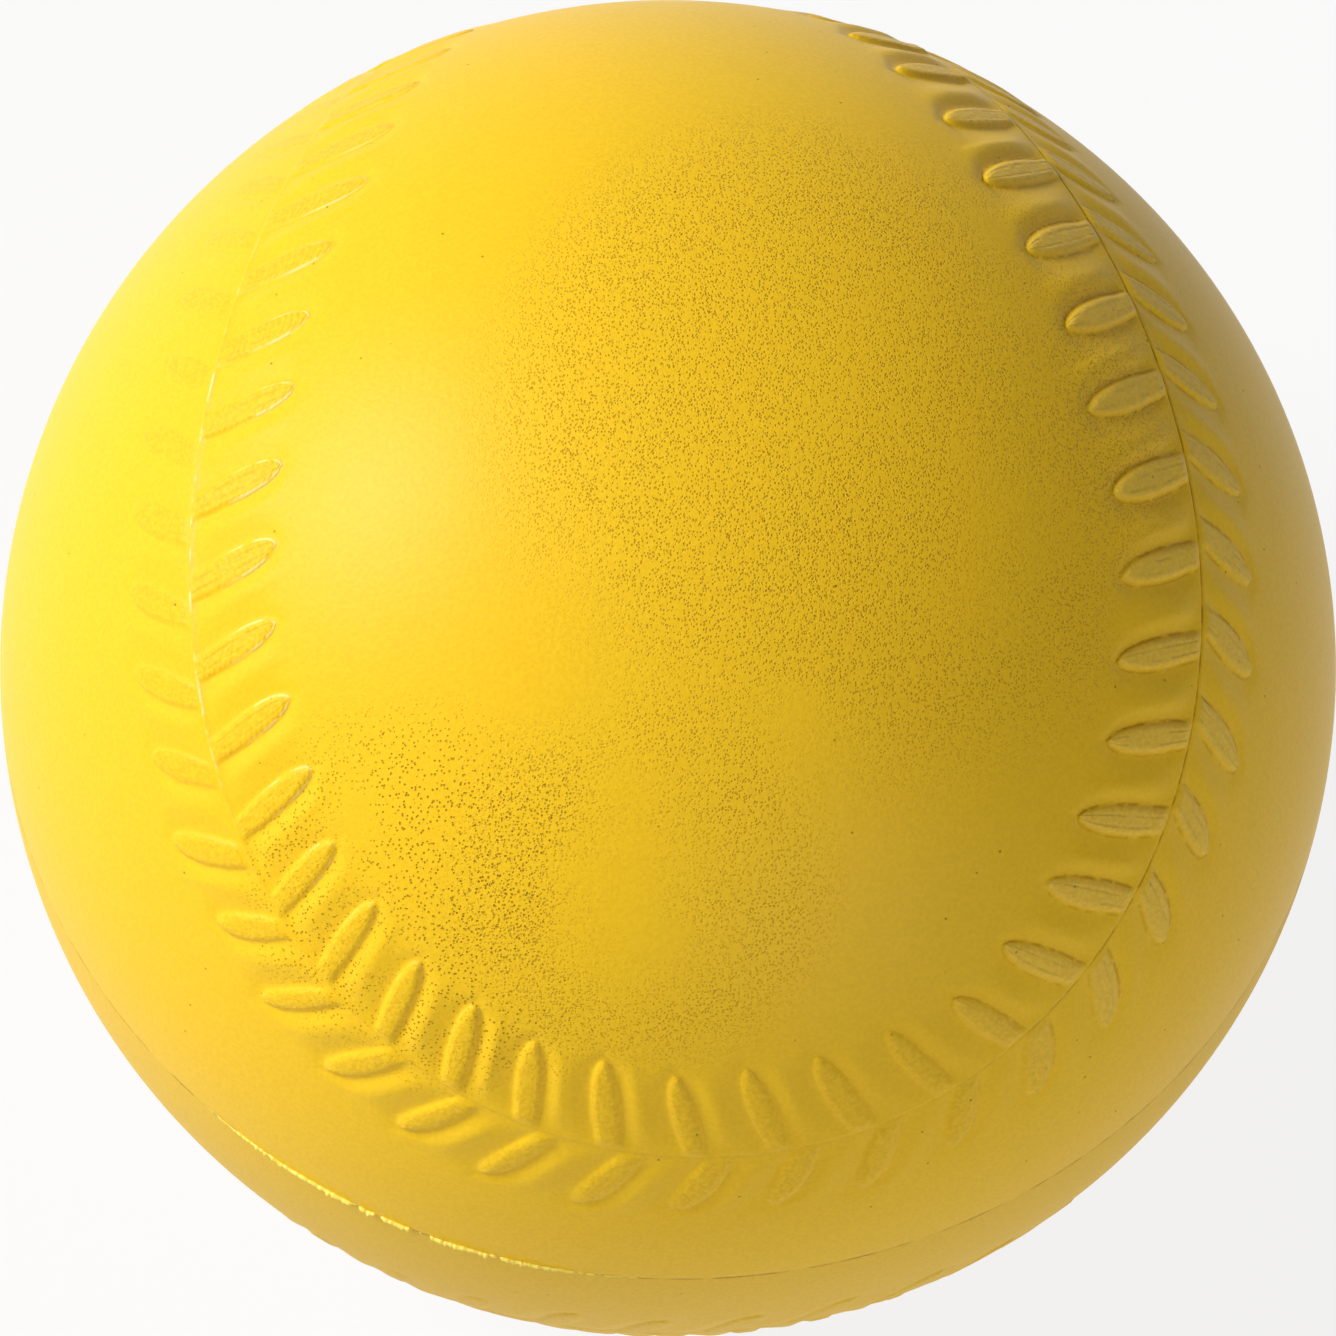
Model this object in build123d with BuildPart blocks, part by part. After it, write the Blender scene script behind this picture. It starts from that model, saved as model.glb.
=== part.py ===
"""Moulded foam softball: a cellular foam core in a dense skin, with the stitched seam moulded on it as relief.

The origin is the ball's centre. The mould opens along Z, so the parting plane is XY and each half of the
mould makes one half of the skin. The seam is the usual two-panel ball seam: half a turn about Y brings it back
on itself, and it crosses the parting plane twice, either side of +Y. Sizes are in millimetres, angles in
degrees.
"""

import math
import os

from build123d import *

# Ball and its layers
BALL_DIAMETER = 97.0
SKIN_THICKNESS = 2.4

# Seam: the angle from +Y to the seam at a panel's waist, the swing to both sides, the fullness of the lobes,
# the spans it is drawn in and its turn past the parting plane, in radians
SEAM_WAIST_ANGLE = 18.3
SEAM_SWING = 0.444
SEAM_LOBE_FULLNESS = 0.051
SEAM_SPANS = 16
SEAM_OVERRUN = 0.8

# Seam line: a fine V-shaped groove between the two rows of stitches, its width measured at the ball's surface
GROOVE_WIDTH = 0.7
GROOVE_DEPTH = 0.25

# Stitches: welts in pairs along the seam, rounded across, blunt at the root and pointed at the tip. The belly
# and the shoulder are placed as parts of the length from the root.
STITCH_PAIRS = 92
STITCH_LENGTH = 7.7
STITCH_WIDTH = 2.3
STITCH_ROOT_WIDTH = 1.8
STITCH_HEIGHT = 0.45
STITCH_BELLY = 0.35
STITCH_SHOULDER = 0.75
STITCH_SHOULDER_WIDTH = 1.8
STITCH_ROOT_CLEARANCE = 0.3

# How the rows lie: the lean back from square to the seam, where each row starts in pitches, and the slow drift
# of the spacing, once round for each half of the seam
INNER_LEAN = 16.0
OUTER_LEAN = 24.0
INNER_START = 1.0
OUTER_START = 1.3
DRIFT = 0.37
DRIFT_PHASE = 82.0

# Flash: the torn web of skin left standing where the two halves of the mould meet
FLASH_HEIGHT = 0.3
FLASH_THICKNESS = 0.24
FLASH_STITCH_CLEARANCE = 1.0

ball_radius = BALL_DIAMETER / 2
core_radius = ball_radius - SKIN_THICKNESS


def seam_point(turn):
    """Point of the seam on the ball, for a turn that runs from 0 to 2 pi over the upper half."""
    waist = math.radians(SEAM_WAIST_ANGLE)
    wave = (1 + SEAM_LOBE_FULLNESS) * math.cos(turn) - SEAM_LOBE_FULLNESS * math.cos(3 * turn)
    from_y = math.pi / 2 - (math.pi / 2 - waist) * wave
    about_y = turn / 2 + SEAM_SWING * math.sin(2 * turn)
    sideways = math.sin(from_y)
    return ball_radius * Vector(-sideways * math.cos(about_y), math.cos(from_y), sideways * math.sin(about_y))


def seam_heading(turn, step=1e-4):
    """Unit tangent of the seam."""
    return (seam_point(turn + step) - seam_point(turn - step)).normalized()


# Seam over the upper half, run past the parting plane at both ends: each span is two arcs on the ball that
# meet tangentially
full_run = 2 * math.pi + 2 * SEAM_OVERRUN
turns = [full_run * k / SEAM_SPANS - SEAM_OVERRUN for k in range(SEAM_SPANS + 1)]
with BuildLine() as seam:
    for first, last in zip(turns, turns[1:]):
        leaving, arriving = seam_heading(first), seam_heading(last)
        chord = seam_point(last) - seam_point(first)
        along = chord.dot(leaving + arriving)
        bend = 2 * (1 - leaving.dot(arriving))
        reach = (math.sqrt(along**2 + bend * chord.dot(chord)) - along) / bend
        knee_in = seam_point(first) + reach * leaving
        knee_out = seam_point(last) - reach * arriving
        joint = (knee_in + knee_out) * 0.5
        TangentArc(seam_point(first), joint, tangent=leaving)
        TangentArc(joint, seam_point(last), tangent=knee_out - knee_in)
seam_path = seam.wire()

# The upper half of the seam holds half of the stitch pairs
samples = 2000
half_turns = [seam_point(2 * math.pi * k / samples) for k in range(samples + 1)]
half_seam = sum((b - a).length for a, b in zip(half_turns, half_turns[1:]))
overrun = (seam_path.length - half_seam) / 2
pairs_in_half = STITCH_PAIRS / 2
pitch = half_seam / pairs_in_half


def stitch_places(start, lean, side):
    """Planes at the middle of each stitch of one row, x along the stitch to its tip and z out of the ball."""
    spare = int(overrun / pitch)
    places = []
    for k in range(-spare, int(pairs_in_half) + spare):
        count = k + start
        drifted = count + DRIFT * math.sin(2 * math.pi * count / pairs_in_half + math.radians(DRIFT_PHASE))
        distance = overrun + drifted * pitch
        root = seam_path.position_at(distance, position_mode=PositionMode.LENGTH)
        heading = seam_path.tangent_at(distance, position_mode=PositionMode.LENGTH)
        across = side * root.cross(heading).normalized()
        tipward = across * math.cos(math.radians(lean)) - heading * math.sin(math.radians(lean))
        middle = root + across * STITCH_ROOT_CLEARANCE + tipward * (STITCH_LENGTH / 2)
        out = middle.normalized()
        places.append(Plane(origin=out * ball_radius, x_dir=tipward, z_dir=out))
    return places


# One stitch, a welt turned about an axis below the ball's surface, so that its round back stands out of it
crown_radius = (STITCH_WIDTH**2 / 4 + STITCH_HEIGHT**2) / (2 * STITCH_HEIGHT)
axis_depth = crown_radius - STITCH_HEIGHT
root_radius = math.hypot(axis_depth, STITCH_ROOT_WIDTH / 2)
shoulder_radius = math.hypot(axis_depth, STITCH_SHOULDER_WIDTH / 2)
tip_radius = axis_depth - STITCH_LENGTH**2 / (8 * ball_radius)
with BuildPart() as stitch:
    with BuildSketch(Plane.XZ):
        with BuildLine():
            Polyline(
                (-STITCH_LENGTH / 2, -axis_depth),
                (-STITCH_LENGTH / 2, root_radius - axis_depth),
                ((STITCH_BELLY - 0.5) * STITCH_LENGTH, STITCH_HEIGHT),
                ((STITCH_SHOULDER - 0.5) * STITCH_LENGTH, shoulder_radius - axis_depth),
                (STITCH_LENGTH / 2, tip_radius - axis_depth),
                (STITCH_LENGTH / 2, -axis_depth),
                close=True,
            )
        make_face()
    revolve(axis=Axis((0, 0, -axis_depth), (1, 0, 0)))

# Upper skin: the half of the skin that takes its relief from the upper half of the mould
with BuildPart() as upper_skin:
    Sphere(ball_radius)
    with Locations(*stitch_places(INNER_START, INNER_LEAN, 1), *stitch_places(OUTER_START, OUTER_LEAN, -1)):
        add(stitch.part)
    with BuildSketch(Plane(origin=seam_path @ 0, x_dir=seam_path @ 0, z_dir=seam_path % 0)):
        Polygon((-GROOVE_DEPTH, 0), (GROOVE_DEPTH, GROOVE_WIDTH), (GROOVE_DEPTH, -GROOVE_WIDTH), align=None)
    sweep(path=seam_path, mode=Mode.SUBTRACT)
    Sphere(core_radius, mode=Mode.SUBTRACT)
    split(bisect_by=Plane.XY, keep=Keep.TOP)
upper_skin.part.label = "upper_skin"

# Lower skin: half a turn of the upper one about the seam's own axis
with BuildPart() as lower_skin:
    add(upper_skin.part, rotation=(0, 180, 0))
lower_skin.part.label = "lower_skin"

# Foam core: the cellular middle, which fills the skin
with BuildPart() as foam_core:
    Sphere(core_radius)
foam_core.part.label = "foam_core"

# Parting flash: two arcs of thin web round the parting line, which stop short of the stitches
row_reach = STITCH_ROOT_CLEARANCE + STITCH_LENGTH + FLASH_STITCH_CLEARANCE
row_angle = math.degrees(row_reach / ball_radius)
flash_gaps = (SEAM_WAIST_ANGLE - row_angle, SEAM_WAIST_ANGLE + row_angle)
flash_arcs = ((90 - flash_gaps[0], 2 * flash_gaps[0]), (90 + flash_gaps[1], 360 - 2 * flash_gaps[1]))
with BuildPart() as parting_flash:
    for start_angle, arc in flash_arcs:
        with BuildSketch(Plane.XZ.rotated((0, 0, start_angle))):
            with Locations((ball_radius, 0)):
                Rectangle(2 * FLASH_HEIGHT, FLASH_THICKNESS)
        revolve(axis=Axis.Z, revolution_arc=arc)
    Sphere(ball_radius, mode=Mode.SUBTRACT)
parting_flash.part.label = "parting_flash"

os.makedirs("parts", exist_ok=True)
for piece in (foam_core, lower_skin, upper_skin, parting_flash):
    export_step(piece.part, f"parts/{piece.part.label}.step")
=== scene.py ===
import math

import bmesh
import bpy
import numpy as np
from mathutils import Matrix, geometry, noise


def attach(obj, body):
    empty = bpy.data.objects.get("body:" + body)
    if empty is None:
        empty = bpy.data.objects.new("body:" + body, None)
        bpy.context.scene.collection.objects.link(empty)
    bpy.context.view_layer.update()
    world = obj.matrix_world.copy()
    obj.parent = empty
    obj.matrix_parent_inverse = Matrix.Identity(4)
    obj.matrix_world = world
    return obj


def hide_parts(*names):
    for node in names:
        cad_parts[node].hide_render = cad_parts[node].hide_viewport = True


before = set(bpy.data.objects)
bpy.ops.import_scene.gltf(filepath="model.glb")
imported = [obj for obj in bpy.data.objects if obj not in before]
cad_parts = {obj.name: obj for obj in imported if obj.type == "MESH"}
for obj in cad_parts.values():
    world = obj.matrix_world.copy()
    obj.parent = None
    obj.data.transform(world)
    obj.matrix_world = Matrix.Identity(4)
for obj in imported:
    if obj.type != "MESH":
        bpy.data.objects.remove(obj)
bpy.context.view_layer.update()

# Foam core: the cellular middle of the ball, polyurethane foam that rose in the closed mould. It is one with
# the skin round it, so nothing fastens it.
MM = 0.001
BALL_RADIUS = 48.5 * MM
SKIN_THICKNESS = 2.4 * MM
CORE_RADIUS = BALL_RADIUS - SKIN_THICKNESS
CORE_DIVISIONS = 6
CELL_SIZE = 1.6 * MM
CELL_DEPTH = 0.3 * MM
CELL_OPENING = (0.15, 0.5)
CELL_BUMP = 0.8
FOAM_ROUGHNESS = 0.9
FOAM_YELLOW = (0.88, 0.66, 0.16, 1.0)
# Darker colour painted into the cell hollows as shade
FOAM_HOLLOW_SHADE = (0.55, 0.36, 0.05, 1.0)


class Shade:
    """One output socket of a node tree. Arithmetic on it adds Math nodes to the tree."""

    def __init__(self, tree, socket=None):
        self.tree = tree
        self.socket = socket

    def node(self, kind, settings=None, sockets=None, output=0):
        """Add a node: its settings first, then the values or links of its sockets."""
        made = self.tree.nodes.new("ShaderNode" + kind)
        for name, value in (settings or {}).items():
            setattr(made, name, value)
        for name, value in (sockets or {}).items():
            if isinstance(value, Shade):
                self.tree.links.new(value.socket, made.inputs[name])
            else:
                made.inputs[name].default_value = value
        return Shade(self.tree, made.outputs[output] if made.outputs else None)

    def math(self, operation, *others):
        """A Math node with this value first."""
        return self.node("Math", {"operation": operation}, dict(enumerate((self, *others))))

    def __add__(self, other):
        return self.math("ADD", other)

    def __sub__(self, other):
        return self.math("SUBTRACT", other)

    def __rsub__(self, other):
        return self.node("Math", {"operation": "SUBTRACT"}, {0: other, 1: self})

    def __mul__(self, other):
        return self.math("MULTIPLY", other)

    def __abs__(self):
        return self.math("ABSOLUTE")

    __radd__ = __add__
    __rmul__ = __mul__

    def between(self, low, high):
        """0 below low, 1 above high and a smooth rise between."""
        return self.node("MapRange", {"interpolation_type": "SMOOTHSTEP"}, {0: self, 1: low, 2: high})

    def mix(self, first, second):
        """Colour from first to second, with this value as the factor. The numbers are the colour sockets."""
        return self.node("Mix", {"data_type": "RGBA"}, {0: self, 6: first, 7: second}, output=2)


def new_material(name):
    """An empty material and the wrapper that its nodes are made with."""
    material = bpy.data.materials.new(name)
    material.use_nodes = True
    material.node_tree.nodes.clear()
    return material, Shade(material.node_tree)


def close_material(shade, surface):
    shade.node("OutputMaterial", {}, {"Surface": surface})


def smooth_object(name, mesh, material):
    """An object of the mesh, smooth shaded."""
    mesh.materials.append(material)
    mesh.shade_smooth()
    made = bpy.data.objects.new(name, mesh)
    bpy.context.scene.collection.objects.link(made)
    return made


foam_material, shade = new_material("foam")
place = shade.node("TexCoord", {}, {}, output="Object")
cells = shade.node("TexVoronoi", {}, {"Vector": place, "Scale": 1 / CELL_SIZE}, output="Distance")
# Painted shade: the hollows of the cells are darker than the foam round them
hollow_shade = 1 - cells.between(*CELL_OPENING)
bumps = shade.node("Bump", {}, {"Height": cells, "Distance": CELL_DEPTH, "Strength": CELL_BUMP})
foam_colour = hollow_shade.mix(FOAM_YELLOW, FOAM_HOLLOW_SHADE)
foam_sockets = {"Base Color": foam_colour, "Roughness": FOAM_ROUGHNESS, "Normal": bumps}
close_material(shade, shade.node("BsdfPrincipled", {}, foam_sockets))

core_shape = bmesh.new()
bmesh.ops.create_icosphere(core_shape, subdivisions=CORE_DIVISIONS, radius=1.0)
for vertex in core_shape.verts:
    nearest = noise.voronoi(vertex.co * CORE_RADIUS / CELL_SIZE)[0][0]
    vertex.co *= CORE_RADIUS - CELL_DEPTH * max(0.0, 1 - nearest)
core_mesh = bpy.data.meshes.new("foam_core")
core_shape.to_mesh(core_mesh)
core_shape.free()
foam_core = smooth_object("foam_core_look", core_mesh, foam_material)
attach(foam_core, "root")
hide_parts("foam_core")

# Upper skin: the dense skin that formed against the upper half of the mould. Stitches, seam line and the
# puckers between the stitches are relief of the mould, in the same yellow polyurethane.

# Seam, and how the mesh follows it: a strip of even columns to both sides, then panels of loose points. The
# first depths of the strip's rows are typed, the others run from, to and by.
SEAM_WAIST = math.radians(18.3)
SEAM_SWING = 0.444
SEAM_LOBE_FULLNESS = 0.051
SEAM_OVERRUN = 1.2
SEAM_SAMPLES = 6001
HEADING_STEP = 1e-4
PAIRS_IN_HALF = 46
DRIFT = 0.37
DRIFT_PHASE = math.radians(82)
COLUMNS_PER_PITCH = 30
SPARE_PITCHES = 3
ROOT_DEPTHS = (0.1, 0.2, 0.3, 0.42, 0.6, 0.85)
BODY_DEPTHS = (1.2, 5.0, 0.6)
TIP_DEPTHS = (5.3, 8.8, 0.28)
STRIP_EDGE = 9.0 * MM
EDGE_STEPS = ((3, 0.5 * MM), (6, 1.2 * MM))
PANEL_SPACING = 1.2 * MM
PANEL_LOWEST = -0.25
PANEL_TRAITS = (0, -10 * MM, 0, 0, 0, 20 * MM)
WELD = 0.02 * MM
ON_PLANE = 1e-6
INNER_RINGS = 12

# Stitches: the inner row, 1, and the outer row, -1. Spreads are shares of a size for one standard deviation,
# and places along a stitch are shares of its length.
ROW_START = {1: 1.0, -1: 1.3}
ROW_LEAN = {1: math.radians(16), -1: math.radians(24)}
STITCH_LENGTH = {1: 7.9 * MM, -1: 6.4 * MM}
STITCH_WIDTH = 2.3 * MM
STITCH_HEIGHT = 0.35 * MM
STITCH_FOOT = 0.12 * MM
STITCH_EDGE = 0.55 * MM
LENGTH_SPREAD = 0.04
WIDTH_SPREAD = 0.05
HEIGHT_SPREAD = 0.1
SHIFT_SPREAD = 0.06 * MM
ROOT_CLEARANCE = 0.3 * MM
ROOT_FADE = 1.1 * MM
ROOT_HEIGHT = 0.1
ROOT_WIDTH = 0.82
BELLY_PLACE = 0.4
TIP_START = 0.5
THINNEST_HALF = 0.1 * MM
CROWN_FALL = 0.2
DISH_RIM = 0.6
DISH_DEPTH = 0.35
DISH_SHARPENING = 0.5
THREAD_COUNT = 12
THREAD_SPREAD = 5

# Panel round the stitches: pockets and puckers, which rise and fall along the row
POCKET_DEPTH = 0.2 * MM
POCKET_REACH = 0.9 * MM
POCKET_RISE = (-0.05, 0.2)
POCKET_FALL = (0.95, 1.35)
PUCKER_HEIGHT = 0.2 * MM
PUCKER_SPREAD = 0.85 * MM
PUCKER_PLACE = 0.42
PUCKER_RISE = (0.02, 0.35)
PUCKER_FALL = (0.65, 1.2)

# Seam line: a step from panel to panel, a bead on part of it and a groove
LEDGE_HEIGHT = 0.22 * MM
LEDGE_REACH = 0.7 * MM
LEDGE_START = 0.1 * MM
LEDGE_LEAST = 0.3
BEAD_HEIGHT = 0.09 * MM
BEAD_PLACE = 0.25 * MM
BEAD_REACH = 0.16 * MM
GROOVE_DEPTH = 0.13 * MM
GROOVE_REACH = 0.12 * MM

# How the moulding changes along the seam: the count of pitches, and the share there
CRISP = {0: 1, 5: 0.8, 8: 0.6, 14: 0.65, 17: 0.9, 20.5: 1, 23: 0.75, 26: 0.65, 29: 0.9, 32: 1.3, 42: 1.3}
OUTER_CRISP = {2: 1, 6: 0.25, 11: 0.25, 15: 0.9, 26: 0.9, 30: 0.62, 40: 0.62, 44: 1}
DISHED = {13: 0.8, 17: 0, 27: 0, 31: 0.35}
LENGTHENED = {28: 1, 31: 1.08, 37: 1.08, 40: 1}
TIP_POWER = {24: 2.6, 30: 1.9, 40: 1.9, 44: 2.6}
BEADED = {7: 0, 11: 1, 17: 1, 21: 0}
GROOVED = {0: 0.4, 7: 0.15, 11: 0.3, 17: 0.3, 21: 0.15, 28: 0.15, 32: 1, 42: 1}

# Colours and gloss of the skin
SKIN_YELLOW = (0.97, 0.60, 0.016, 1.0)
PORE_BROWN = (0.44, 0.20, 0.0, 1.0)
# Pale yellow of the painted highlights on stitch rims, on the seam's bead and on stitch tops in the shaded
# zone
HIGHLIGHT_YELLOW = (1.0, 0.86, 0.36, 1.0)
SKIN_ROUGHNESS = 0.41
PORE_ROUGHENING = 0.3
SKIN_SPECULAR = 0.15

# Zones of the ball: a direction from the centre, then the cosines at which the zone begins and is full
PORE_ZONE = ((-0.42, -0.68, 0.60), 0.935, 0.988)
STRAY_PORE_ZONE = ((0.24, -0.09, 0.97), 0.88, 0.96)
GRAIN_ZONE = ((0.24, -0.09, 0.97), 0.81, 0.92)
LOW_GRAIN_ZONE = ((-0.12, -0.71, 0.69), 0.945, 0.98)
SHADED_ZONE = ((0.74, -0.19, 0.64), 0.6, 0.85)

# Holes: the size of a cell, then the shares of it at which a hole is full and ends
PORE_HOLES = (0.3 * MM, 0.15, 0.32)
GRAIN_HOLES = (0.22 * MM, 0.18, 0.44)
SPECK_HOLES = (2.4 * MM, 0.03, 0.055)

# Noise: features in a metre and detail, then the levels at which the mark begins and is full
PATCH_NOISE = (70.0, 3.0)
PORE_PATCH = (0.36, 0.54)
STRAY_PORE_PATCH = (0.5, 0.66)
GRAIN_PATCH = (0.25, 0.5)
BREAKS = (900.0, 2.0, 0.38, 0.55)
BEAD_BREAKS = (420.0, 2.0, 0.44, 0.56)
STRAND_BREAKS = (500.0, 1.0, 0.4, 0.55)
PARTING_BREAKS = (450.0, 4.0, 0.36, 0.62)
MOTTLE = (3200.0, 1.0, 0.3, 0.7)
ROUGH_NOISE = (2600.0, 2.0)

# Marks on and beside the stitches: the distances at which they begin and end
HOLES_STOP = (-0.15 * MM, 0.1 * MM)
PORES_STOPPED = 0.6
STRAY_PORES = 0.35
OFF_SEAM = (0.2 * MM, 0.8 * MM)
ON_STITCH = (0.05 * MM, 0.3 * MM)
# Painted shade in the crevice round a stitch: its place, reach, heavier side, and its share outside and in the
# shaded zone
CREVICE_PLACE = 0.05 * MM
CREVICE_REACH = (0.0, 0.2 * MM)
CREVICE_SIDE = (-0.4, 0.5)
CREVICE_LEAST = 0.25
CREVICE_SHADED = 0.45
# Painted highlight on the outer end of a stitch's rim and on the seam's bead
RIM_PLACE = 0.1 * MM
RIM_REACH = (0.02 * MM, 0.16 * MM)
RIM_ALONG = (2.5 * MM, 5.5 * MM)
BEAD_LINE = (0.06 * MM, 0.19 * MM)
BEAD_THREAD = (0.4, 0.9)
# Strands: the grooves between them darkened as painted shade, more in the shaded zone
STRAND_PLACE = 0.36
STRAND_REACH = (0.02, 0.16)
STRAND_SHADED = 0.8
STRAND_THREAD = 0.5
STRAND_LEAST = 0.2
TWIST_PITCH = 0.55 * MM
TWIST_SLANT = 3.0
# Seam line: a dark line, darker in the shaded zone as painted shade
SEAM_LINE = (0.03 * MM, 0.15 * MM)
SEAM_LINE_LEAST = 0.15
SEAM_LINE_UNBROKEN = 0.4
PARTING_LINE = (0.03 * MM, 0.17 * MM)

# How much a mark darkens the skin and how deep it is, and what stands up
# The darkness of the crevice and strand marks is painted shade, and that of the seam mark is partly painted
# shade
DARKNESS = {
    "pore": 0.7, "speck": 0.8, "grain": 0.56, "crevice_shade": 0.36, "strand_shade": 0.16, "seam": 0.55, "parting": 0.6
}
DEPTH = {
    "pore": 0.09 * MM, "grain": 0.035 * MM, "crevice_shade": 0.07 * MM, "strand_shade": 0.035 * MM, "seam": 0.08 * MM,
    "parting": 0.08 * MM,
}
MOTTLE_DARKNESS = 0.1
STITCH_MOTTLE = 0.1
# Pale painted highlight on stitch rims and the seam's bead, and the rise of the bump under it
RIM_HIGHLIGHT_PALENESS = 0.75
# Pale painted highlight on stitch tops in the shaded zone
STITCH_TOP_HIGHLIGHT = 0.12
RIM_HIGHLIGHT_RISE = 0.03 * MM
TWIST_HEIGHT = 0.017 * MM
ROUGH_HEIGHT = 0.02 * MM
STITCH_ROUGH_HEIGHT = 0.05 * MM
TRAIT_NAMES = ("stitch_inside", "stitch_share", "stitch_along", "thread", "seam_offset")

rng = np.random.default_rng(7)


def smooth_rise(low, high, value):
    """0 below low, 1 above high and a smooth rise between."""
    share = np.clip((value - low) / (high - low), 0, 1)
    return share * share * (3 - 2 * share)


def along_seam(count, shares):
    """The share at a count of pitches along the seam, which repeats for each half of it."""
    return np.interp(count, list(shares), list(shares.values()), period=PAIRS_IN_HALF)


def hump(distance, reach):
    """1 at no distance, falling off over the reach."""
    return np.exp(-((distance / reach) ** 2))


def seam_points(turn):
    """Unit vectors of the seam. The turn runs from 0 to 2 pi over the upper half."""
    wave = (1 + SEAM_LOBE_FULLNESS) * np.cos(turn) - SEAM_LOBE_FULLNESS * np.cos(3 * turn)
    from_y = math.pi / 2 - (math.pi / 2 - SEAM_WAIST) * wave
    about_y = turn / 2 + SEAM_SWING * np.sin(2 * turn)
    sideways = np.sin(from_y)
    return np.stack([-sideways * np.cos(about_y), np.cos(from_y), sideways * np.sin(about_y)], axis=-1)


turns = np.linspace(-SEAM_OVERRUN, 2 * math.pi + SEAM_OVERRUN, SEAM_SAMPLES)
seam = seam_points(turns)
seam_steps = np.linalg.norm(np.diff(seam, axis=0), axis=1) * BALL_RADIUS
run = np.concatenate([[0], np.cumsum(seam_steps)])
run -= np.interp(0, turns, run)
half_seam = np.interp(2 * math.pi, turns, run)
pitch = half_seam / PAIRS_IN_HALF


def ball_points(distance, offset):
    """Unit vectors of points at a distance along the seam and an offset to its left, seen from outside."""
    turn = np.interp(distance, run, turns)
    root = seam_points(turn)
    ahead = seam_points(turn + HEADING_STEP) - seam_points(turn - HEADING_STEP)
    left = np.cross(root, ahead)
    left /= np.linalg.norm(left, axis=-1, keepdims=True)
    angle = (offset / BALL_RADIUS)[..., None]
    return np.cos(angle) * root + np.sin(angle) * left


stitch_spread = {side: rng.normal(0, 1, (4, PAIRS_IN_HALF)) for side in (1, -1)}
stitch_spacing = {side: pitch * math.cos(lean) for side, lean in ROW_LEAN.items()}


def nearest_stitch(count, depth, side):
    """The stitch nearest to a count of pitches and a depth into the panel: the distance from its middle line,
    the way along it as a share of its length, its length, its half width there and its height."""
    number = np.round(count - ROW_START[side])
    spreads = stitch_spread[side][:, number.astype(int) % PAIRS_IN_HALF]
    length_change, width_change, height_change, shift = spreads
    across = (count - ROW_START[side] - number) * stitch_spacing[side] + SHIFT_SPREAD * shift
    length = STITCH_LENGTH[side] * (1 + LENGTH_SPREAD * length_change) * along_seam(count, LENGTHENED)
    along = (depth - ROOT_CLEARANCE) / math.cos(ROW_LEAN[side]) / length
    belly = ROOT_WIDTH + (1 - ROOT_WIDTH) * smooth_rise(0, BELLY_PLACE, along)
    to_tip = np.clip(along - TIP_START, 0, None) / (1 - TIP_START)
    point = np.sqrt(np.clip(1 - to_tip ** along_seam(count, TIP_POWER), 0, 1))
    half_width = STITCH_WIDTH / 2 * (1 + WIDTH_SPREAD * width_change) * belly * point
    half_width = np.where(along > 1, (1 - along) * length, half_width)
    return across, along, length, half_width, STITCH_HEIGHT * (1 + HEIGHT_SPREAD * height_change)


def relief(count, depth, side):
    """Height of the moulded relief, and what the material reads of the nearest stitch: how far inside its
    outline, the share of its half width, the way along it, and how clearly its thread shows."""
    across, along, length, half_width, stitch_height = nearest_stitch(count, depth, side)
    inside = half_width - np.abs(across)
    share = across / np.maximum(half_width, THINNEST_HALF)
    dished = along_seam(count, DISHED)
    crisp = along_seam(count, CRISP)
    if side < 0:
        crisp = crisp * along_seam(count, OUTER_CRISP)

    # Stitch, with soft edges, low at the root, its back round or dished
    rim = np.clip(share, -1, 1) ** 2
    back = 1 - CROWN_FALL * rim + dished * (DISH_RIM * rim - DISH_DEPTH)
    edge = smooth_rise(-STITCH_FOOT, STITCH_EDGE * (1 - DISH_SHARPENING * dished), inside)
    root = ROOT_HEIGHT + (1 - ROOT_HEIGHT) * smooth_rise(0, ROOT_FADE, depth)
    welt = stitch_height * back * edge * root

    # Pocket round the stitch, and pucker between two stitches
    pocket_share = smooth_rise(*POCKET_RISE, along) * (1 - smooth_rise(*POCKET_FALL, along))
    pocket = POCKET_DEPTH * hump(np.clip(-inside, 0, None), POCKET_REACH) * pocket_share
    spacing = stitch_spacing[side]
    before = np.abs(across - PUCKER_PLACE * spacing)
    after = np.abs(across + (1 - PUCKER_PLACE) * spacing)
    pucker_share = smooth_rise(*PUCKER_RISE, along) * (1 - smooth_rise(*PUCKER_FALL, along))
    pucker = PUCKER_HEIGHT * hump(np.minimum(before, after), PUCKER_SPREAD) * pucker_share

    # Seam line
    beaded = along_seam(count, BEADED)
    ledge = (LEDGE_LEAST + (1 - LEDGE_LEAST) * beaded) * side * LEDGE_HEIGHT / 2
    ledge = ledge * np.exp(-depth / LEDGE_REACH) * smooth_rise(0, LEDGE_START, depth)
    bead = (side > 0) * beaded * BEAD_HEIGHT * hump(depth - BEAD_PLACE, BEAD_REACH)
    groove = along_seam(count, GROOVED) * GROOVE_DEPTH * hump(depth, GROOVE_REACH)

    height = crisp * (welt + pucker - pocket) + ledge + bead - groove
    thread = (side > 0) * hump(count - THREAD_COUNT, THREAD_SPREAD)
    return height, inside, np.clip(share, -2, 2), along * length, thread


row_depths = np.concatenate([ROOT_DEPTHS, np.arange(*BODY_DEPTHS), np.arange(*TIP_DEPTHS)]) * MM
row_depths = np.append(row_depths, STRIP_EDGE)
last_column = (PAIRS_IN_HALF + SPARE_PITCHES) * COLUMNS_PER_PITCH
counts = np.arange(-SPARE_PITCHES * COLUMNS_PER_PITCH, last_column + 1) / COLUMNS_PER_PITCH
drifted = counts + DRIFT * np.sin(2 * math.pi * counts / PAIRS_IN_HALF + DRIFT_PHASE)


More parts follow.
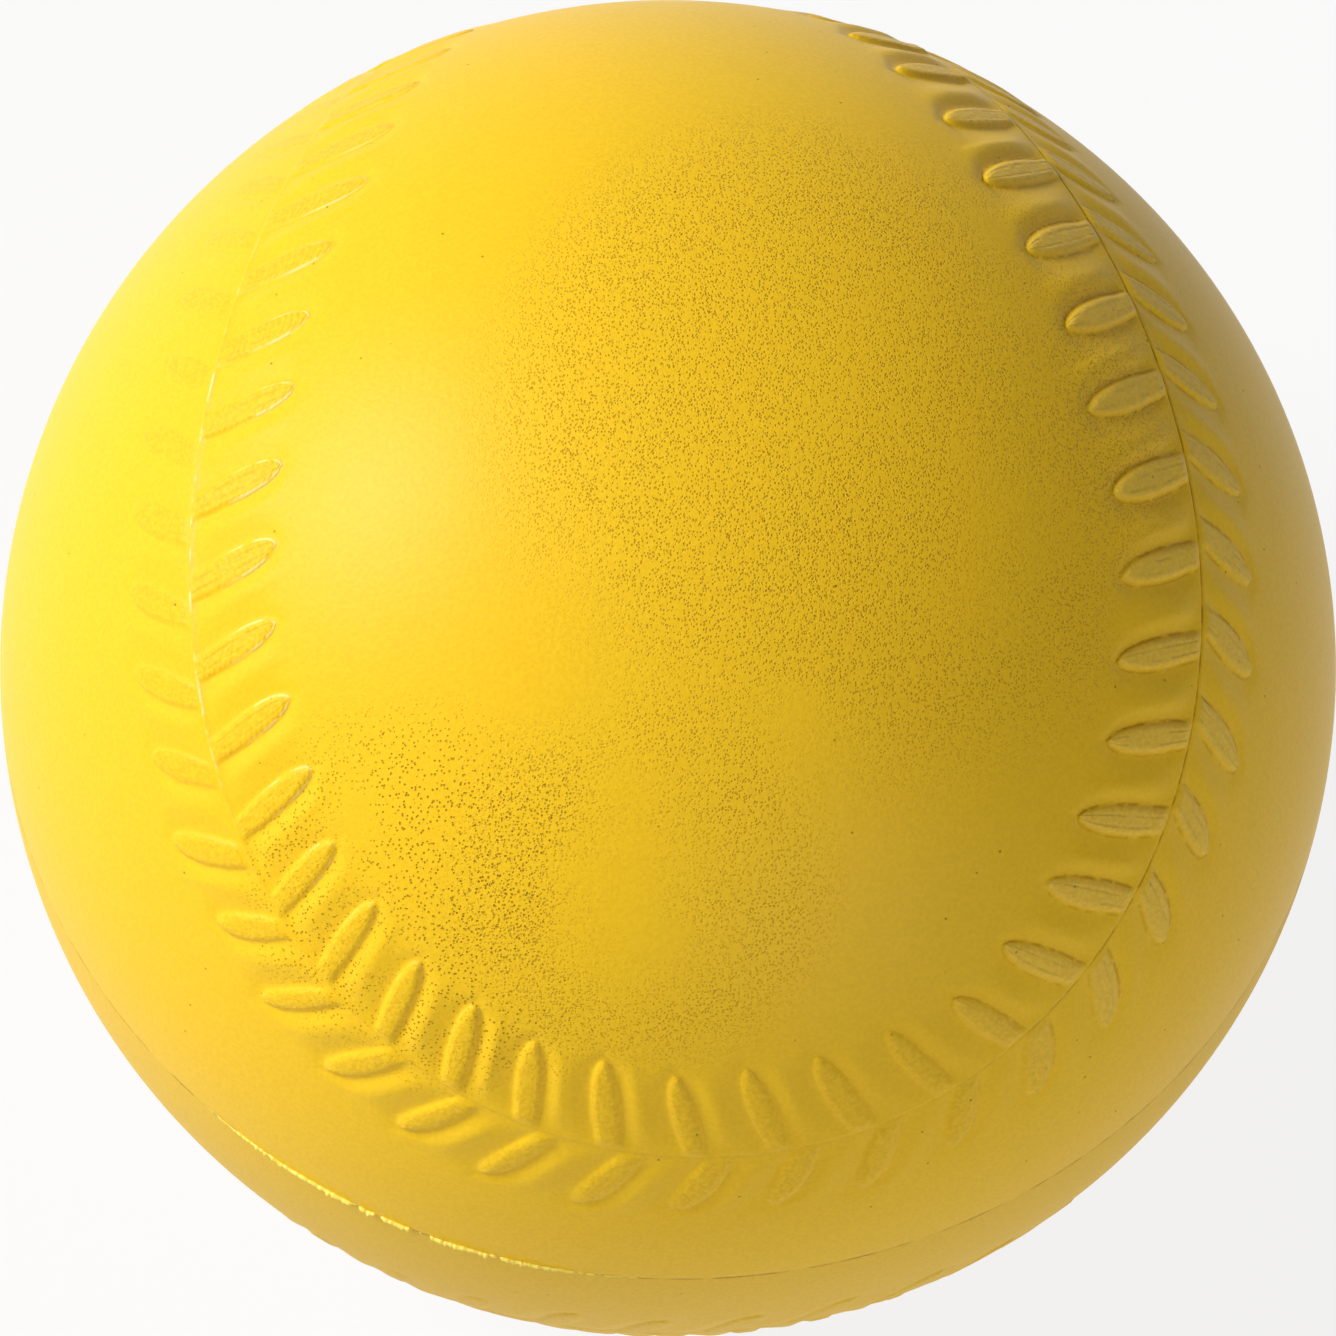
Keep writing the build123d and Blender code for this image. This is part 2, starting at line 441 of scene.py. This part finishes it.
def strip_row(depth, side, step=1):
    """Points and traits of one row of the strip beside the seam, every step columns."""
    count = counts[::step]
    depths = np.full(len(count), depth)
    distance = drifted[::step] * pitch - depths * math.tan(ROW_LEAN[side])
    return ball_points(distance, side * depths), np.stack([*relief(count, depths, side), side * depths])


row_places = [(depth, -1) for depth in row_depths[::-1]] + [(0.0, 1)] + [(depth, 1) for depth in row_depths]
strip_rows = [strip_row(depth, side) for depth, side in row_places]
points = np.concatenate([row_points for row_points, _ in strip_rows])
traits = np.concatenate([row_traits for _, row_traits in strip_rows], axis=1)
width = len(counts)
corner = (np.arange(len(strip_rows) - 1)[:, None] * width + np.arange(width - 1)[None, :]).ravel()
faces = np.stack([corner, corner + 1, corner + 1 + width, corner + width], axis=1).tolist()

# Each step towards the panel keeps every third, then every second, of the points along the strip
panel_edges = []
for side, first in ((-1, 0), (1, (len(strip_rows) - 1) * width)):
    ring = np.arange(first, first + width)
    step_before = 1
    for step, further in EDGE_STEPS:
        row_points, row_traits = strip_row(STRIP_EDGE + further, side, step)
        kept = np.arange(len(points), len(points) + len(row_points))
        points = np.concatenate([points, row_points])
        traits = np.concatenate([traits, row_traits], axis=1)
        jump = step // step_before
        for k in range(len(kept) - 1):
            stretch = ring[k * jump : (k + 1) * jump + 1].tolist()
            faces.append((stretch + [int(kept[k + 1]), int(kept[k])])[::side])
        ring = kept
        step_before = step
    panel_edges.append(ring)


def seam_distance(where):
    """Distance from the seam over the ball, worked out block by block to spare memory."""
    nearest = np.concatenate([(block @ seam[::4].T).max(axis=1) for block in np.array_split(where, 40)])
    return np.arccos(np.clip(nearest, -1, 1)) * BALL_RADIUS


# The panels between the strips: even points over the ball, joined up to the strips' edges
golden_angle = math.pi * (3 - math.sqrt(5))
even_count = int(4 * math.pi * BALL_RADIUS**2 / (PANEL_SPACING**2 * math.sin(math.pi / 3)))
order = np.arange(even_count)
level = 1 - 2 * (order + 0.5) / even_count
spread = np.sqrt(1 - level**2)
even = np.stack([spread * np.cos(golden_angle * order), spread * np.sin(golden_angle * order), level], axis=1)
even = even[even[:, 2] > PANEL_LOWEST]
panel_clear = STRIP_EDGE + EDGE_STEPS[-1][1]
even = even[seam_distance(even) > panel_clear + 0.5 * PANEL_SPACING]
edge_numbers = np.concatenate(panel_edges)
fill = np.concatenate([points[edge_numbers], even])
flat = fill[:, :2] / (1 + fill[:, 2:])
edge_links = []
base = 0
for ring in panel_edges:
    edge_links += [(base + k, base + k + 1) for k in range(len(ring) - 1)]
    base += len(ring)
found = geometry.delaunay_2d_cdt([tuple(p) for p in flat], edge_links, [], 0, 1e-9)
flat_points = np.array([tuple(p) for p in found[0]])
square = (flat_points**2).sum(axis=1)
filled = np.concatenate([2 * flat_points, (1 - square)[:, None]], axis=1) / (1 + square)[:, None]
triangles = np.array(found[2])
middles = filled[triangles].mean(axis=1)
middles /= np.linalg.norm(middles, axis=1, keepdims=True)
triangles = triangles[seam_distance(middles) > panel_clear - WELD]
numbers = np.array([
    edge_numbers[was[0]] if was and was[0] < len(edge_numbers) else len(points) + k
    for k, was in enumerate(found[3])
])
faces += numbers[triangles].tolist()
points = np.concatenate([points, filled])
traits = np.concatenate([traits, np.tile(np.array(PANEL_TRAITS)[:, None], len(filled))], axis=1)


def moulded_half(name, strength):
    """The relief, at a strength for each point, as a mesh that runs on past the parting plane."""
    mesh = bpy.data.meshes.new(name)
    mesh.from_pydata(points * (BALL_RADIUS + traits[0] * strength)[:, None], [], faces)
    for trait, values in zip(TRAIT_NAMES, traits[1:]):
        mesh.attributes.new(trait, "FLOAT", "POINT").data.foreach_set("value", values.astype(np.float32))
    return mesh


def bearing_of(vertex):
    """Angle about the axis along which the mould opens."""
    return math.atan2(vertex.co.y, vertex.co.x)


def cut_half(source, name):
    """The part of the mesh above the parting plane, closed by a rim and by the skin's inner face."""
    shape = bmesh.new()
    shape.from_mesh(source)
    everything = shape.verts[:] + shape.edges[:] + shape.faces[:]
    bmesh.ops.bisect_plane(
        shape, geom=everything, dist=ON_PLANE / 10, plane_co=(0, 0, 0), plane_no=(0, 0, 1), clear_inner=True
    )
    bmesh.ops.delete(shape, geom=[v for v in shape.verts if not v.link_faces], context="VERTS")
    rim = sorted((v for v in shape.verts if abs(v.co.z) < ON_PLANE and v.is_boundary), key=bearing_of)
    bearings = [bearing_of(vertex) for vertex in rim]
    outer = rim
    for level in range(INNER_RINGS):
        rise = math.pi / 2 * level / INNER_RINGS
        spread = CORE_RADIUS * math.cos(rise)
        height = CORE_RADIUS * math.sin(rise)
        ring = [shape.verts.new((spread * math.cos(b), spread * math.sin(b), height)) for b in bearings]
        for k in range(len(rim)):
            after = (k + 1) % len(rim)
            shape.faces.new((outer[k], ring[k], ring[after], outer[after]))
        outer = ring
    shape.faces.new(outer[::-1])
    for k in range(len(rim)):
        shape.edges.get((rim[k - 1], rim[k])).smooth = False
    bmesh.ops.recalc_face_normals(shape, faces=shape.faces[:])
    made = bpy.data.meshes.new(name)
    shape.to_mesh(made)
    shape.free()
    return made


def skin_material(name, yellow, pores, detail, roughness):
    """Satin moulded skin: pin-holes and grain in patches, thread on stitches, painted shade in a fine outline
    round them and between their strands, pale painted highlights on their rims, on the seam's bead and on
    stitch tops in the shaded zone, seam and parting lines, the seam line darker in the shaded zone as painted
    shade. The shares pores and detail weaken the holes and the marks of the stitches."""
    material, shade = new_material(name)
    place = shade.node("TexCoord", {}, {}, output="Object")

    def speckle(scale, fineness):
        return shade.node("TexNoise", {}, {"Vector": place, "Scale": scale, "Detail": fineness})

    def broken(scale, fineness, low, high):
        return speckle(scale, fineness).between(low, high)

    def trait(label):
        return shade.node("Attribute", {"attribute_name": label}, {}, output="Fac")

    def zone(direction, low, high):
        along_it = {0: place, 1: direction}
        facing = shade.node("VectorMath", {"operation": "DOT_PRODUCT"}, along_it, output="Value")
        return (facing * (1 / BALL_RADIUS)).between(low, high)

    def holes(cell, narrow, wide):
        cell_sockets = {"Vector": place, "Scale": 1 / cell}
        return 1 - shade.node("TexVoronoi", {}, cell_sockets, output="Distance").between(narrow, wide)

    inside, signed_share, along, thread, offset = (trait(label) for label in TRAIT_NAMES)
    share = abs(signed_share)
    seam_gap = abs(offset)
    off_seam = seam_gap.between(*OFF_SEAM)
    on_stitch = inside.between(*ON_STITCH) * off_seam * detail
    stopped = inside.between(*HOLES_STOP)
    shaded = zone(*SHADED_ZONE)
    patch = speckle(*PATCH_NOISE)
    breaks = broken(*BREAKS)

    # Holes: pores in their patch and strayed into the grain, the grain, and a few specks all over
    pore_share = zone(*PORE_ZONE) * patch.between(*PORE_PATCH)
    pore_share = pore_share + zone(*STRAY_PORE_ZONE) * patch.between(*STRAY_PORE_PATCH) * STRAY_PORES
    pore_share = pore_share.math("MINIMUM", 1.0) * (1 - stopped * PORES_STOPPED)
    pore = holes(*PORE_HOLES) * pore_share * pores
    grain_share = (zone(*GRAIN_ZONE) + zone(*LOW_GRAIN_ZONE)).math("MINIMUM", 1.0)
    grain = holes(*GRAIN_HOLES) * grain_share * patch.between(*GRAIN_PATCH) * (1 - stopped) * pores
    speck = holes(*SPECK_HOLES) * pores

    # Painted shade in the crevice round a stitch, all round in the shaded zone and on one side elsewhere
    crevice_shade = (1 - abs(inside + CREVICE_PLACE).between(*CREVICE_REACH)) * breaks * off_seam * detail
    crevice_shade_side = signed_share.between(*CREVICE_SIDE) * (1 - CREVICE_LEAST - shaded * CREVICE_SHADED)
    crevice_shade = crevice_shade * (crevice_shade_side + shaded * CREVICE_SHADED + CREVICE_LEAST)
    crevice_shade = crevice_shade * (shaded * (1 - CREVICE_LEAST) + CREVICE_LEAST)

    # Pale painted highlights: the outer end of a stitch's rim and the bead of the seam
    rim = (1 - abs(inside - RIM_PLACE).between(*RIM_REACH)) * along.between(*RIM_ALONG) * off_seam
    bead = (1 - abs(offset - BEAD_PLACE).between(*BEAD_LINE)) * thread.between(*BEAD_THREAD)
    painted_highlight = (rim + bead * broken(*BEAD_BREAKS)) * thread * breaks * detail

    # Thread: two strands along a stitch, the groove between them darkened as painted shade, more in the shaded
    # zone, and the twist across it
    strand_shade = (1 - abs(share - STRAND_PLACE).between(*STRAND_REACH)) * on_stitch * broken(*STRAND_BREAKS)
    strand_shade = strand_shade * (shaded * STRAND_SHADED + thread * STRAND_THREAD + STRAND_LEAST)
    twist = (along * (2 * math.pi / TWIST_PITCH) + share * TWIST_SLANT).math("SINE") * on_stitch * thread

    # Lines of the seam and of the mould. The seam line is a dark line, made darker in the shaded zone as
    # painted shade
    seam_line_and_shade = (1 - seam_gap.between(*SEAM_LINE)) * (shaded * (1 - SEAM_LINE_LEAST) + SEAM_LINE_LEAST)
    seam_line_and_shade = seam_line_and_shade * (breaks * (1 - SEAM_LINE_UNBROKEN) + SEAM_LINE_UNBROKEN)
    parting_gap = abs(shade.node("SeparateXYZ", {}, {0: place}, output="Z"))
    parting = (1 - parting_gap.between(*PARTING_LINE)) * broken(*PARTING_BREAKS)

    marks = {
        "pore": pore, "speck": speck, "grain": grain, "crevice_shade": crevice_shade, "strand_shade": strand_shade, "seam": seam_line_and_shade,
        "parting": parting,
    }
    dark = broken(*MOTTLE) * (on_stitch * STITCH_MOTTLE + MOTTLE_DARKNESS)
    for mark, darkness in DARKNESS.items():
        dark = dark + marks[mark] * darkness
    colour = dark.math("MINIMUM", 1.0).mix(yellow, PORE_BROWN)
    # Pale painted highlights on stitch rims and the seam's bead, and on stitch tops in the shaded zone
    colour = (painted_highlight * RIM_HIGHLIGHT_PALENESS + on_stitch * shaded * STITCH_TOP_HIGHLIGHT).mix(colour, HIGHLIGHT_YELLOW)
    height = speckle(*ROUGH_NOISE) * (on_stitch * STITCH_ROUGH_HEIGHT + ROUGH_HEIGHT)
    height = height + twist * TWIST_HEIGHT + painted_highlight * RIM_HIGHLIGHT_RISE
    for mark, depth in DEPTH.items():
        height = height - marks[mark] * depth
    skin_sockets = {
        "Base Color": colour,
        "Roughness": pore * PORE_ROUGHENING + roughness,
        "Normal": shade.node("Bump", {}, {"Height": height, "Distance": 1.0, "Strength": 1.0}),
        "Specular IOR Level": SKIN_SPECULAR,
    }
    close_material(shade, shade.node("BsdfPrincipled", {}, skin_sockets))
    return material


upper_material = skin_material("upper_skin", SKIN_YELLOW, 1.0, 1.0, SKIN_ROUGHNESS)
upper_mesh = cut_half(moulded_half("upper_mould", 1.0), "upper_skin")
upper_skin = smooth_object("upper_skin_look", upper_mesh, upper_material)
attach(upper_skin, "root")
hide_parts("upper_skin")

# Lower skin: the same skin from the lower half of the mould, duller because that half was less polished. Half
# a turn about Y carries the upper relief over to it, weaker away from the parting plane.
LOWER_YELLOW = (0.91, 0.575, 0.036, 1.0)
LOWER_PORES = 0.5
LOWER_DETAIL = 0.7
LOWER_ROUGHNESS = 0.5
LOWER_STRENGTH = 0.65
LOWER_FADE = (0.0, 0.2)

lower_material = skin_material("lower_skin", LOWER_YELLOW, LOWER_PORES, LOWER_DETAIL, LOWER_ROUGHNESS)
lower_strength = 1 - (1 - LOWER_STRENGTH) * smooth_rise(*LOWER_FADE, points[:, 2])
lower_mesh = cut_half(moulded_half("lower_mould", lower_strength), "lower_skin")
lower_mesh.transform(Matrix.Rotation(math.pi, 4, "Y"))
lower_skin = smooth_object("lower_skin_look", lower_mesh, lower_material)
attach(lower_skin, "root")
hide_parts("lower_skin")

# Parting flash: the thin web of skin squeezed out between the halves of the mould and torn off by hand, so
# that it stands as flakes on one stretch and ends flush with the ball, or just under it, on the rest.
FLASH_STEPS = 3000
FLASH_SPECK = 0.12 * MM
FLASH_FLAKE = 0.48 * MM
FLASH_THICKNESS = 0.22 * MM
FLASH_ROOT = 0.2 * MM
FLASH_SUNK = 0.1 * MM
FLASH_NARROW = 0.6
FLASH_CREST = 0.5
FLAKE_MIDDLE = math.radians(-117)
FLAKE_SPREAD = math.radians(19)
FLAKE_EVEN = 0.75
FLAKE_TORN = 0.35
FLAKE_BEND = 0.5
GAP_LEVEL = -0.42
GAP_SOFTNESS = 0.25
SPECK_LEVEL = 0.6
ROUGH_SCALES = (38, 105)
FINE_SHARE = 0.5
TORN_SCALE = 260
BEND_SCALE = 120
# Paler than the skin: painted highlight of light caught on the flash
FLASH_HIGHLIGHT_YELLOW = (1.0, 0.80, 0.12, 1.0)
FIBRE_SCALE = 1500.0
FIBRE_DEPTH = 0.1 * MM
FIBRE_BUMP = 0.6
FIBRE_LEVELS = (0.5, 0.8)
FLASH_ROUGHNESS = 0.5

flash_material, shade = new_material("flash")
place = shade.node("TexCoord", {}, {}, output="Object")
fibre = shade.node("TexNoise", {}, {"Vector": place, "Scale": FIBRE_SCALE, "Detail": 3.0})
fibre_bump = shade.node("Bump", {}, {"Height": fibre, "Distance": FIBRE_DEPTH, "Strength": FIBRE_BUMP})
# Painted highlight: the flash is paler than the skin, broken towards the skin's yellow by fibre noise
flash_highlight_colour = fibre.between(*FIBRE_LEVELS).mix(FLASH_HIGHLIGHT_YELLOW, SKIN_YELLOW)
flash_sockets = {"Base Color": flash_highlight_colour, "Roughness": FLASH_ROUGHNESS, "Normal": fibre_bump}
close_material(shade, shade.node("BsdfPrincipled", {}, flash_sockets))

flash_points = []
for bearing in np.linspace(-math.pi, math.pi, FLASH_STEPS, endpoint=False):
    rim_point = np.array([math.cos(bearing), math.sin(bearing), 0.0])
    coarse, fine = (noise.noise(tuple(rim_point * scale)) for scale in ROUGH_SCALES)
    rough = coarse + FINE_SHARE * fine
    torn = noise.noise(tuple(rim_point * TORN_SCALE + 3))
    nearness = math.exp(-(((bearing - FLAKE_MIDDLE) / FLAKE_SPREAD) ** 4))
    standing = min(1.0, max(0.0, (rough - GAP_LEVEL) / GAP_SOFTNESS))
    flake = FLASH_FLAKE * nearness * standing * (FLAKE_EVEN + FLAKE_TORN * torn)
    speck = FLASH_SPECK * max(0.0, rough + torn - SPECK_LEVEL)
    bend = FLAKE_BEND * flake * noise.noise(tuple(rim_point * BEND_SCALE + 9))
    root = BALL_RADIUS - FLASH_ROOT
    crest = BALL_RADIUS + flake + speck - FLASH_SUNK
    half = FLASH_THICKNESS / 2 * (FLASH_NARROW + (1 - FLASH_NARROW) * nearness)
    tip = FLASH_CREST * half
    profile = ((root, -half), (crest, bend - tip), (crest, bend + tip), (root, half))
    flash_points += [(radius * rim_point[0], radius * rim_point[1], lift) for radius, lift in profile]
flash_faces = []
for k in range(FLASH_STEPS):
    here, after = 4 * k, 4 * ((k + 1) % FLASH_STEPS)
    for a, b in ((0, 1), (1, 2), (2, 3), (3, 0)):
        flash_faces.append((here + a, after + a, after + b, here + b))
flash_mesh = bpy.data.meshes.new("parting_flash")
flash_mesh.from_pydata(flash_points, [], flash_faces)
parting_flash = smooth_object("parting_flash_look", flash_mesh, flash_material)
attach(parting_flash, "root")
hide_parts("parting_flash")

# Floor: a plain white sweep of board or paper under the ball. The ball only lies on it, and it keeps a soft
# shadow.
FLOOR_SIZE = 4.0
FLOOR_WHITE = (0.75, 0.75, 0.75, 1.0)
WHITE = (1.0, 1.0, 1.0, 1.0)
SHADOW_SHARE = 0.15


def in_view(shade):
    """1 for what the camera sees, straight or by a reflection, and 0 for the light that falls on the ball."""
    seen = shade.node("LightPath", {}, {}, output="Is Camera Ray")
    for ray in ("Is Glossy Ray", "Is Transmission Ray"):
        seen = seen.math("MAXIMUM", shade.node("LightPath", {}, {}, output=ray))
    return seen


floor_material, shade = new_material("floor")
matt = shade.node("BsdfDiffuse", {}, {"Color": FLOOR_WHITE})
glow = shade.node("Emission", {}, {"Color": WHITE, "Strength": 1.0})
glow_share = in_view(shade) * (1 - SHADOW_SHARE)
close_material(shade, shade.node("MixShader", {}, {0: glow_share, 1: matt, 2: glow}))
floor_mesh = bpy.data.meshes.new("floor")
reach = FLOOR_SIZE / 2
floor_corners = [(-reach, -reach, 0), (reach, -reach, 0), (reach, reach, 0), (-reach, reach, 0)]
floor_mesh.from_pydata(floor_corners, [], [(0, 1, 2, 3)])
floor = smooth_object("floor", floor_mesh, floor_material)
floor.location.z = -BALL_RADIUS

# Camera: well above the ball on its front side, far enough back that the ball fills the frame edge to edge.
CAMERA_AZIMUTH = math.radians(-8.7)
CAMERA_ELEVATION = math.radians(62.6)
CAMERA_ROLL = math.radians(4.9)
CAMERA_DISTANCE = 15 * BALL_RADIUS

camera_turn = (
    Matrix.Rotation(CAMERA_AZIMUTH, 4, "Z")
    @ Matrix.Rotation(math.pi / 2 - CAMERA_ELEVATION, 4, "X")
    @ Matrix.Rotation(CAMERA_ROLL, 4, "Z")
)
camera_data = bpy.data.cameras.new("camera")
camera_data.angle = 2 * math.asin(BALL_RADIUS / CAMERA_DISTANCE)
camera = bpy.data.objects.new("camera", camera_data)
camera.matrix_world = camera_turn @ Matrix.Translation((0, 0, CAMERA_DISTANCE))
bpy.context.scene.collection.objects.link(camera)
bpy.context.scene.camera = camera

# Lamps: a broad soft lamp at the camera's upper left, a weak one low at its right, and an even white surround,
# so that the right side falls to shade. Directions are the camera's right, up and back.
KEY_DIRECTION = (-0.75, 0.44, 0.50)
KEY_SIZE = 1.1
KEY_POWER = 48.0
FILL_DIRECTION = (0.45, -0.65, 0.60)
FILL_SIZE = 1.5
FILL_POWER = 11.0
LAMP_DISTANCE = 2.0
SURROUND_LEVEL = 0.155


def soft_lamp(name, direction, size, power):
    """A round soft lamp that faces the ball from a direction in the camera's axes."""
    lamp_data = bpy.data.lights.new(name, "AREA")
    lamp_data.shape = "DISK"
    lamp_data.size = size
    lamp_data.energy = power
    lamp = bpy.data.objects.new(name, lamp_data)
    towards = (camera_turn @ Matrix.Translation(direction)).translation.normalized()
    lamp.location = towards * LAMP_DISTANCE
    lamp.rotation_euler = towards.to_track_quat("Z", "Y").to_euler()
    bpy.context.scene.collection.objects.link(lamp)


soft_lamp("key", KEY_DIRECTION, KEY_SIZE, KEY_POWER)
soft_lamp("fill", FILL_DIRECTION, FILL_SIZE, FILL_POWER)
world = bpy.data.worlds.new("surround")
world.use_nodes = True
world.node_tree.nodes.clear()
shade = Shade(world.node_tree)
surround = in_view(shade) * (1 - SURROUND_LEVEL) + SURROUND_LEVEL
background = shade.node("Background", {}, {"Color": WHITE, "Strength": surround})
shade.node("OutputWorld", {}, {"Surface": background})
bpy.context.scene.world = world
bpy.context.scene.view_settings.view_transform = "Standard"
